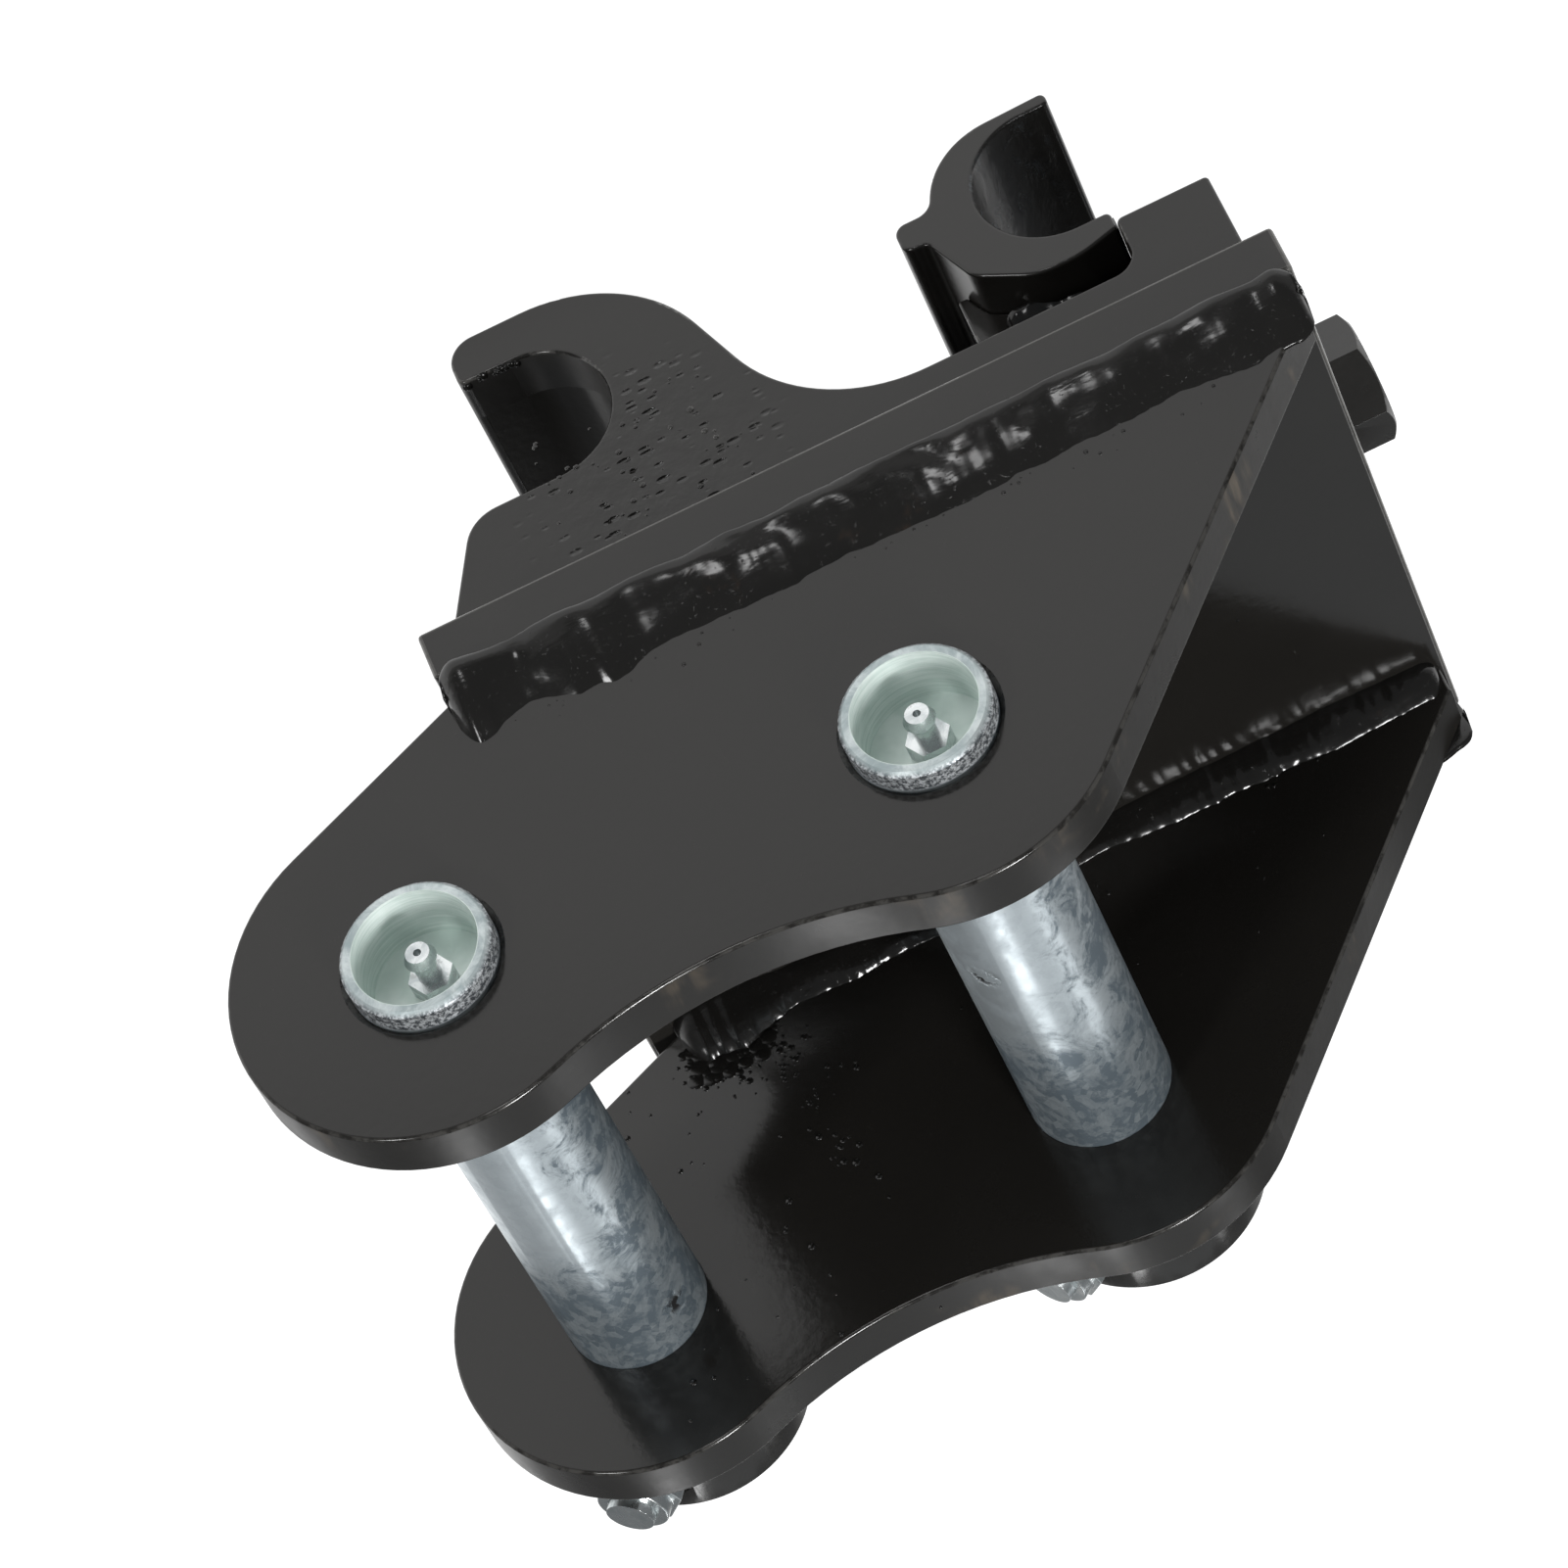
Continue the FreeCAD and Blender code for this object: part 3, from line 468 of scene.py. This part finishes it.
# How far each CAD node's sharp edges are rounded, in millimetres
EASED = {
    "base_plate": 0.9,
    "screw_block": 0.8,
    "jaw_carriage": 0.6,
    "clamp_screw": 0.6,
    "front_saddle": 0.5,
    "thrust_washer": 0.4,
    "thrust_collar": 0.4,
}
for which in ("dipper", "link"):
    LOOK_OF[which + "_pin"] = zinc[which]
    LOOK_OF[which + "_pin_boss"] = boss_paint
    for piece in ("_grease_nipple", "_cross_bolt", "_lock_nut"):
        LOOK_OF[which + piece] = fastener
    for piece, width in (("_pin", 0.25), ("_pin_boss", 0.5), ("_lock_nut", 0.35), ("_cross_bolt", 0.35)):
        EASED[which + piece] = width


JOIN_WITHIN = 0.002
SHARP_ANGLE = 35


def dress(node, look):
    """Gives a CAD node its material."""
    target = NODES[node]
    if not target.material_slots:
        target.data.materials.append(look)
    for place in target.material_slots:
        place.material = look


def ease(node, width):
    """Rounds a CAD node's sharp edges. Its faces arrive unjoined, so they are joined first."""
    joining = NODES[node].modifiers.new("joined", "WELD")
    joining.merge_threshold = JOIN_WITHIN * MM
    rounding = NODES[node].modifiers.new("eased", "BEVEL")
    rounding.width = width * MM
    rounding.segments = 3
    rounding.limit_method = "ANGLE"
    rounding.angle_limit = math.radians(SHARP_ANGLE)
    rounding.harden_normals = True


for node in NODES:
    for start, look in LOOK_OF.items():
        if node.startswith(start):
            dress(node, look)
for node, width in EASED.items():
    ease(node, width)


# Weld beads

def add_mesh(name, build, body, look, smooth=True):
    mesh = bpy.data.meshes.new(name)
    build.normal_update()
    bmesh.ops.recalc_face_normals(build, faces=build.faces)
    build.to_mesh(mesh)
    build.free()
    for face in mesh.polygons:
        face.use_smooth = smooth
    mesh.materials.append(look)
    piece = bpy.data.objects.new(name, mesh)
    bpy.context.scene.collection.objects.link(piece)
    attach(piece, body)
    return piece


def sweep(name, node, stations, ring, body="frame", closed=False):
    """A bead from rings of points, one at each station, that stands for a CAD weld."""
    build = bmesh.new()
    loops = [[build.verts.new(point) for point in ring(station)] for station in stations]
    pairs = list(zip(loops, loops[1:]))
    if closed:
        pairs.append((loops[-1], loops[0]))
    for first, second in pairs:
        count = len(first)
        for i in range(count):
            build.faces.new((first[i], first[(i + 1) % count], second[(i + 1) % count], second[i]))
    if not closed:
        for loop in (loops[0], loops[-1]):
            middle = build.verts.new(sum((v.co for v in loop), Vector()) / len(loop))
            for i in range(len(loop)):
                build.faces.new((loop[i], loop[(i + 1) % len(loop)], middle))
    piece = add_mesh(name, build, body, weld_paint)
    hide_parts(node)
    return piece


def steps(start, end, pitch):
    count = max(2, round(abs(end - start) / pitch))
    return [start + (end - start) * i / count for i in range(count + 1)]


def hump(x, lumps):
    """Sum of soft lumps (place, height, half width), all in millimetres."""
    return sum(height * math.exp(-((x - place) / half) ** 2) for place, height, half in lumps)


def rough_lift(x, v, seed, ripple, pitch, lump):
    """Height of the bead's surface above its smooth form, in millimetres."""
    wander = 0.25 * noise.noise(Vector((x / 9, v, seed)))
    wave = math.cos(2 * math.pi * (x / pitch + 0.55 * (2 * v - 1) ** 2 + wander))
    fade = math.sin(math.pi * min(max(v, 0.0), 1.0))
    low = noise.noise(Vector((x / 14, v * 1.8, seed)))
    mid = noise.noise(Vector((x / 6.5, v * 4.5, seed + 7)))
    return fade * (ripple * wave + lump * low + 0.35 * lump * mid)


PROFILE_POINTS = 26

# The outer bead, in millimetres: its height up the ear, the level that its ends close
# to, and how far it takes to close
BEAD_RISE = 13.4
BEAD_MIDDLE = 5.5
BEAD_CLOSE = 4.5
OUTER_STEP = 0.55

# Corner beads: the step between rings, how deep they sink into the walls, their root
CORNER_STEP = 0.6
CORNER_SINK = 0.35
CORNER_ROOT = 0.8

# Boss beads: leg length, points across and rings round
BOSS_LEG = 5.0
BOSS_POINTS = 14
BOSS_RINGS = 180

# Soft lumps (place along X, height, half width) in millimetres: how far the outer
# bead's lower edge runs up the ear, and how far the bead swells
OUTER_LUMPS = {
    "near": [(32.5, 2.6, 5.0), (11.5, 2.2, 4.0), (3.5, 3.2, 4.5), (-28, 0.7, 9.0), (-70, 0.8, 12.0),
             (-129, 1.4, 4.0), (21.5, -1.6, 3.0), (-114, -0.9, 5.0)],
    "far": [(30, 1.6, 6.0), (-12, 1.4, 9.0), (-60, -0.8, 7.0), (-96, 1.2, 8.0), (-133, 1.0, 4.0)],
}
SWELL_LUMPS = {
    "near": [(31.5, 1.3, 5.5), (8, 0.9, 6.5), (-10, 0.5, 5), (-50, 0.4, 14), (-128, 0.8, 9), (-140, 0.8, 3.5),
             (20, -0.4, 3.0)],
    "far": [(28, 0.8, 7.0), (-20, 0.6, 10), (-80, 0.5, 10), (-136, 0.7, 5.0)],
}


def end_taper(x, low, high, soft):
    """1 along a bead, falling round to 0 over soft millimetres at its two ends."""
    gap = min(x - low, high - x)
    if gap >= soft:
        return 1.0
    return math.sqrt(max(0.0, 1.0 - (1.0 - max(gap, 0.0) / soft) ** 2))


def bezier(points, t):
    """Point on the curve that a list of (y, z) control points gives."""
    while len(points) > 1:
        points = [(a[0] + (b[0] - a[0]) * t, a[1] + (b[1] - a[1]) * t) for a, b in zip(points, points[1:])]
    return points[0]


def outer_bead(side, sign):
    """The large bead outside an ear: over the base plate's edge and up the ear."""
    rear = BASE_LOW.x / MM + 0.3
    front = BASE_HIGH.x / MM - 0.1
    seed = 3.0 if side == "near" else 41.0
    top = BASE_TOP / MM
    ear = EAR_OUT / MM
    edge = BASE_HIGH.y / MM

    def ring(x):
        low_edge = top + BEAD_RISE + hump(x, OUTER_LUMPS[side]) + 0.9 * noise.noise(Vector((x / 6, seed, 2)))
        low_edge += 0.3 * noise.noise(Vector((x / 2.2, seed, 5)))
        up_edge = top - 0.2 + 0.7 * noise.noise(Vector((x / 10, seed, 9)))
        up_edge += 0.2 * noise.noise(Vector((x / 3, seed, 12)))
        swell = 1.0 + hump(x, SWELL_LUMPS[side]) * 0.55
        small = end_taper(x, rear, front, BEAD_CLOSE)
        middle_z = top + BEAD_MIDDLE
        low_edge = middle_z + (low_edge - middle_z) * small ** 0.7
        up_edge = middle_z + (up_edge - middle_z) * small ** 0.7
        curve = [(edge - 0.05, up_edge), (edge + 3.2 * swell * small, up_edge - 0.2),
                 (edge + 2.6 * swell * small, up_edge + 1.6), (ear + 5.0 * swell * small, top + 5.0),
                 (ear + 2.7 * swell * small, low_edge - 4.2), (ear + 1.2 * small, low_edge - 1.6),
                 (ear - 0.5, low_edge + 0.5)]
        points = []
        for i in range(PROFILE_POINTS):
            v = i / (PROFILE_POINTS - 1)
            y, z = bezier(curve, v)
            lift = rough_lift(x, v, seed, 0.0, 3.9, 0.9) * small
            points.append(Vector((x, sign * (y + lift * 0.93), z + lift * 0.30)) * MM)
        points.append(Vector((x, sign * (ear - 1.0), low_edge - 0.6)) * MM)
        points.append(Vector((x, sign * (ear - 0.6), up_edge + 0.6)) * MM)
        return points

    sweep("bead_outer_" + side, "ear_weld_" + side, steps(rear, front, OUTER_STEP), ring)


def corner_bead(name, node, low, high, corner, legs, signs, seed, lumps=(), soft=4.0, body="frame"):
    """A convex bead in a corner of two walls, from low to high along X."""
    def ring(x):
        small = end_taper(x, low, high, soft)
        grow = 1.0 + 0.13 * noise.noise(Vector((x / 7, seed, 1)))
        grow += 0.05 * noise.noise(Vector((x / 1.9, seed, 4)))
        leg_y = (legs[0] + hump(x, lumps) * 0.6) * small * grow
        leg_z = (legs[1] + hump(x, lumps)) * small * grow
        points = []
        for i in range(PROFILE_POINTS):
            v = i / (PROFILE_POINTS - 1)
            turn = v * math.pi / 2
            lift = rough_lift(x, v, seed, 0.05, 3.2, 0.45) * small
            y = leg_y * math.cos(turn) ** 1.35 + lift * 0.7 - CORNER_SINK * small
            z = leg_z * math.sin(turn) ** 1.35 + lift * 0.7 - CORNER_SINK * small
            points.append(Vector((x, corner[0] + signs[0] * y, corner[1] + signs[1] * z)) * MM)
        root = (corner[0] - signs[0] * CORNER_ROOT, corner[1] - signs[1] * CORNER_ROOT)
        points.append(Vector((x, *root)) * MM)
        return points

    sweep(name, node, steps(low, high, CORNER_STEP), ring, body)


def boss_bead(which, seed):
    """The bead round a boss, where it stands on the far ear."""
    centre_x, centre_z = (c / MM for c in PIN_AXIS[which])
    low, high = size(which + "_pin_boss")
    boss = (high.x - low.x) / 2 / MM
    ear = EAR_OUT / MM

    def ring(turn):
        cx, sx = math.cos(turn), math.sin(turn)
        grow = 1.0 + 0.12 * noise.noise(Vector((cx * 3, sx * 3, seed)))
        points = []
        for i in range(BOSS_POINTS):
            v = i / (BOSS_POINTS - 1)
            bend = v * math.pi / 2
            lift = rough_lift(turn * boss, v, seed + 2 * cx, 0.10, 3.3, 0.3)
            out = boss + BOSS_LEG * grow * math.cos(bend) ** 1.3 + lift * 0.7
            up = ear + BOSS_LEG * grow * math.sin(bend) ** 1.3 + lift * 0.7
            points.append(Vector((centre_x + out * cx, up, centre_z + out * sx)) * MM)
        points.append(Vector((centre_x + (boss - 0.5) * cx, ear - 0.4, centre_z + (boss - 0.5) * sx)) * MM)
        return points

    turns = [2 * math.pi * i / BOSS_RINGS for i in range(BOSS_RINGS)]
    sweep("bead_boss_" + which, which + "_boss_weld", turns, ring, closed=True)


INNER_LUMPS = [(19, 4.2, 8.5), (27, 1.5, 4), (-6, 0.8, 7), (-64, -1.2, 12), (-118, 0.8, 9)]


def corner_beads(side, sign):
    """The beads inside an ear, under the base plate and on the jaw's carriage, on one side."""
    low, high = size("ear_inner_weld_" + side)
    corner_bead("bead_inner_" + side, "ear_inner_weld_" + side, low.x / MM + 0.5, high.x / MM + 3.0,
                (sign * EAR_IN / MM, BASE_TOP / MM), (4.0, 7.6), (-sign, 1), 17.0 + sign, INNER_LUMPS)
    low, high = size("frame_weld_" + side)
    corner_bead("bead_frame_" + side, "frame_weld_" + side, low.x / MM + 0.5, high.x / MM,
                (sign * FRAME_OUT / MM, FOOT / MM), (6.4, 6.4), (sign, -1), 29.0 + sign, [(-60, 0.7, 14)])
    low, high = size("jaw_weld_" + side)
    wall = size("jaw_carriage")[1].y / MM
    corner_bead("bead_jaw_" + side, "jaw_weld_" + side, low.x / MM, high.x / MM,
                (sign * (wall - 0.3), low.z / MM + 4.0), (4.2, 5.5), (sign, 1), 53.0 + sign,
                soft=3.0, body="jaw")


for side, sign in (("near", -1), ("far", 1)):
    outer_bead(side, sign)
    corner_beads(side, sign)


# A thin sheet in the jaw's paint on its lip, a dark sheet standing in for the shade in the gap to the screw
# block, in metres: thickness, height, the places of its middle past the block's face and above the seat, and
# how far it stops short of the ends
LIP_THICK = 0.00030
LIP_HIGH = 0.0030
LIP_PAST_FACE = 0.00018
LIP_ABOVE_SEAT = 0.0024
LIP_SHORT = 0.0030


def gap_shade_sheet():
    """A sheet in the jaw's paint on its upper lip, which closes the gap to the screw block: painted shade, a
    dark sheet standing in for the shade in that gap.
    """
    low = size("jaw_hook")[0]
    face = size("screw_block")[1].x
    middle = Matrix.Translation((face + LIP_PAST_FACE, 0.0, JAW_RADIUS + LIP_ABOVE_SEAT))
    spread = Matrix.Diagonal((LIP_THICK, -2 * low.y - LIP_SHORT, LIP_HIGH, 1.0))
    build = bmesh.new()
    bmesh.ops.create_cube(build, size=1.0, matrix=middle @ spread)
    return add_mesh("paint_jaw_lip", build, "jaw", jaw_paint, smooth=False)


gap_shade_sheet()
boss_bead("dipper", 61.0)
boss_bead("link", 73.0)


# Weld spatter: small painted droplets stuck to the plates

DROPLET_SINK = 0.12
SPATTER_SEED = 8


def droplets(name, spots, facing, look):
    """Low domes at (place, radius, height) spots in millimetres, all facing one way."""
    build = bmesh.new()
    turn = Vector((0, 0, 1)).rotation_difference(Vector(facing)).to_matrix()
    sides, levels = 10, 3
    for place, radius, height in spots:
        base = Vector(place)
        rings = []
        for level in range(levels):
            bend = math.pi / 2 * level / levels
            rings.append([build.verts.new((base + turn @ Vector((
                radius * math.cos(bend) * math.cos(2 * math.pi * i / sides),
                radius * math.cos(bend) * math.sin(2 * math.pi * i / sides),
                height * math.sin(bend) - DROPLET_SINK))) * MM) for i in range(sides)])
        crown = build.verts.new((base + turn @ Vector((0, 0, height - DROPLET_SINK))) * MM)
        for first, second in zip(rings, rings[1:]):
            for i in range(sides):
                build.faces.new((first[i], first[(i + 1) % sides], second[(i + 1) % sides], second[i]))
        for i in range(sides):
            build.faces.new((rings[-1][i], rings[-1][(i + 1) % sides], crown))
        build.faces.new(list(reversed(rings[0])))
    return add_mesh(name, build, "frame", look)


def scatter(draw, count, low, high, small, large, flat=0.45, inward=1.6):
    """Random spots between two corners, crowded towards the low Z side."""
    spots = []
    for _ in range(count):
        place = [draw.uniform(low[0], high[0]), draw.uniform(low[1], high[1]),
                 low[2] + (high[2] - low[2]) * draw.random() ** inward]
        radius = small + (large - small) * draw.random() ** 2.2
        spots.append((place, radius, radius * flat + DROPLET_SINK))
    return spots


draw = random.Random(SPATTER_SEED)
ear_in = EAR_IN / MM
top = BASE_TOP / MM
frame_out = FRAME_OUT / MM
seat = JAW_SEAT["dims"]["r_mm"]
ear_out = EAR_OUT / MM

droplets("spatter_far_ear",
         scatter(draw, 60, (-2, ear_in, top + 9), (60, ear_in, 152), 0.30, 0.85)
         + scatter(draw, 130, (13, ear_in, top + 5), (31, ear_in, 78), 0.9, 2.3, 0.16, 1.2)
         + scatter(draw, 70, (10, ear_in, 70), (33, ear_in, 86), 0.35, 1.1, 0.3, 1.3)
         + scatter(draw, 34, (5, ear_in, 76), (14, ear_in, 112), 0.35, 0.95, 0.3, 1.2)
         + scatter(draw, 26, (-120, ear_in, top + 8), (-10, ear_in, 110), 0.25, 0.6),
         (0, -1, 0), weld_paint)
droplets("spatter_near_ear_inside",
         scatter(draw, 50, (-110, -ear_in, top + 9), (28, -ear_in, 100), 0.30, 0.8),
         (0, 1, 0), weld_paint)
droplets("spatter_hook_near",
         scatter(draw, 56, (-36, -frame_out, 6), (4, -frame_out, 46), 0.35, 0.95, 0.35, 1.0),
         (0, -1, 0), hook_paint)
droplets("spatter_hook_far",
         scatter(draw, 26, (-50, frame_out, 14), (20, frame_out, 44), 0.30, 0.7, 0.35, 1.0),
         (0, 1, 0), hook_paint)
droplets("spatter_seat_edge",
         [((draw.uniform(-2.5, 10.0), -frame_out + draw.uniform(0.6, 1.5), -seat),
           draw.uniform(0.5, 1.2), draw.uniform(0.4, 0.8)) for _ in range(16)],
         (0, -0.35, 1), weld_paint)
droplets("spatter_ear_outside",
         scatter(draw, 34, (-128, -ear_out, top + 14.5), (30, -ear_out, top + 20), 0.2, 0.55, 0.5, 2.2),
         (0, -1, 0), weld_paint)
droplets("spatter_base_top",
         scatter(draw, 24, (-138, -50, top), (10, 50, top + 0.001), 0.25, 0.55),
         (0, 0, 1), weld_paint)


# Floor, world and lights

# The floor glows from the pool's middle out to POOL_BRIGHT and is dim past POOL_EDGE
POOL = (-0.013, 0.13, FOOT)
POOL_BRIGHT = 0.385
POOL_EDGE = 0.66
POOL_GLOW = (0.25, 1.02)
FLOOR_HALF = 6.0
FLOOR_DROP = 0.0005


def make_floor():
    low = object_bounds()[0][2]
    build = bmesh.new()
    corners = [build.verts.new((x * FLOOR_HALF, y * FLOOR_HALF, low - FLOOR_DROP))
               for x, y in ((-1, -1), (1, -1), (1, 1), (-1, 1))]
    build.faces.new(corners)
    mesh = bpy.data.meshes.new("floor")
    build.to_mesh(mesh)
    build.free()
    floor = bpy.data.objects.new("floor", mesh)
    bpy.context.scene.collection.objects.link(floor)
    look = Look("floor_white", specular=0.0)
    pool = look.near(POOL, POOL_BRIGHT, POOL_EDGE)
    look.shader.inputs["Emission Color"].default_value = (1.0, 1.0, 1.0, 1.0)
    look.feed(look.shader.inputs["Emission Strength"], look.ramp(pool, 0.0, 1.0, *POOL_GLOW))
    grain = look.noise(40, 3, 0.5)
    mesh.materials.append(look.finish(look.mix(grain, (0.20, 0.20, 0.20), (0.215, 0.215, 0.215)), 1.0))


def make_world():
    world = bpy.data.worlds.new("studio")
    world.use_nodes = True
    back = world.node_tree.nodes["Background"]
    back.inputs["Color"].default_value = (0.93, 0.965, 1.0, 1.0)
    back.inputs["Strength"].default_value = 0.18
    bpy.context.scene.world = world


def area_light(name, place, aim, width, height, power, tint=(1.0, 1.0, 1.0)):
    data = bpy.data.lights.new(name, "AREA")
    data.shape = "RECTANGLE"
    data.size = width
    data.size_y = height
    data.energy = power
    data.color = tint
    lamp = bpy.data.objects.new(name, data)
    lamp.location = place
    lamp.rotation_euler = (Vector(aim) - Vector(place)).to_track_quat("-Z", "Y").to_euler()
    bpy.context.scene.collection.objects.link(lamp)


make_floor()
make_world()
area_light("key", (-0.4, -0.5, 2.2), (0, 0, 0.06), 0.5, 0.5, 38)
area_light("front", (0.08, -2.0, 0.30), (0, 0, 0.06), 0.26, 0.26, 2.2)
area_light("fill", (1.5, -1.3, 1.3), (0, 0, 0.06), 0.4, 0.4, 11)
area_light("streak", (0.54, 1.44, 1.07), (0, 0, 0.12), 0.14, 0.9, 2.3)
area_light("back_panel", (-0.10, 2.0, 1.5), (0, 0, 0.10), 2.4, 1.2, 2.7, (0.93, 0.97, 1.0))
area_light("back_streak", (-0.66, 1.43, 1.0), (0, 0, 0.12), 0.22, 0.7, 0.9)

bpy.context.scene.view_settings.view_transform = "Standard"
